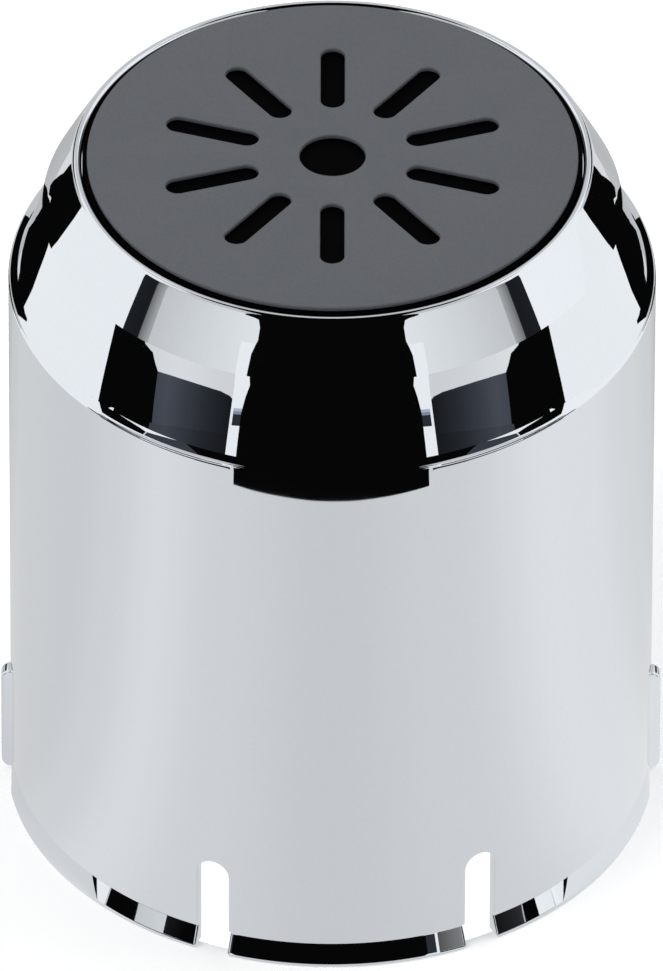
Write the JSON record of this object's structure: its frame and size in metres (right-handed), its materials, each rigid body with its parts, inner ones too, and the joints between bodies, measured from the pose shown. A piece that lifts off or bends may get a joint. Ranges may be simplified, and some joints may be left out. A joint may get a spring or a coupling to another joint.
{
  "type": "wheel center cap",
  "caption": "Tall chromed push-through wheel center cap with a coved nose, a dark cut-out face plate, a slotted skirt and a retaining lip.",
  "frame": {"origin": "middle of the open rim, on the plane that the cap stands on", "axes": "+Z along the cap's axis from the open rim to the face, -Y towards the front pair of slots, +X towards one side rib"},
  "size_m": [0.1112, 0.1094, 0.1301],
  "materials": {
    "chrome_shell": "polished",
    "black_disc": "satin",
    "grey_plate": "satin"
  },
  "bodies": {
    "root": {"cap_shell": "chrome_shell", "backing_disc": "black_disc", "face_plate": "grey_plate"}
  },
  "joints": []
}
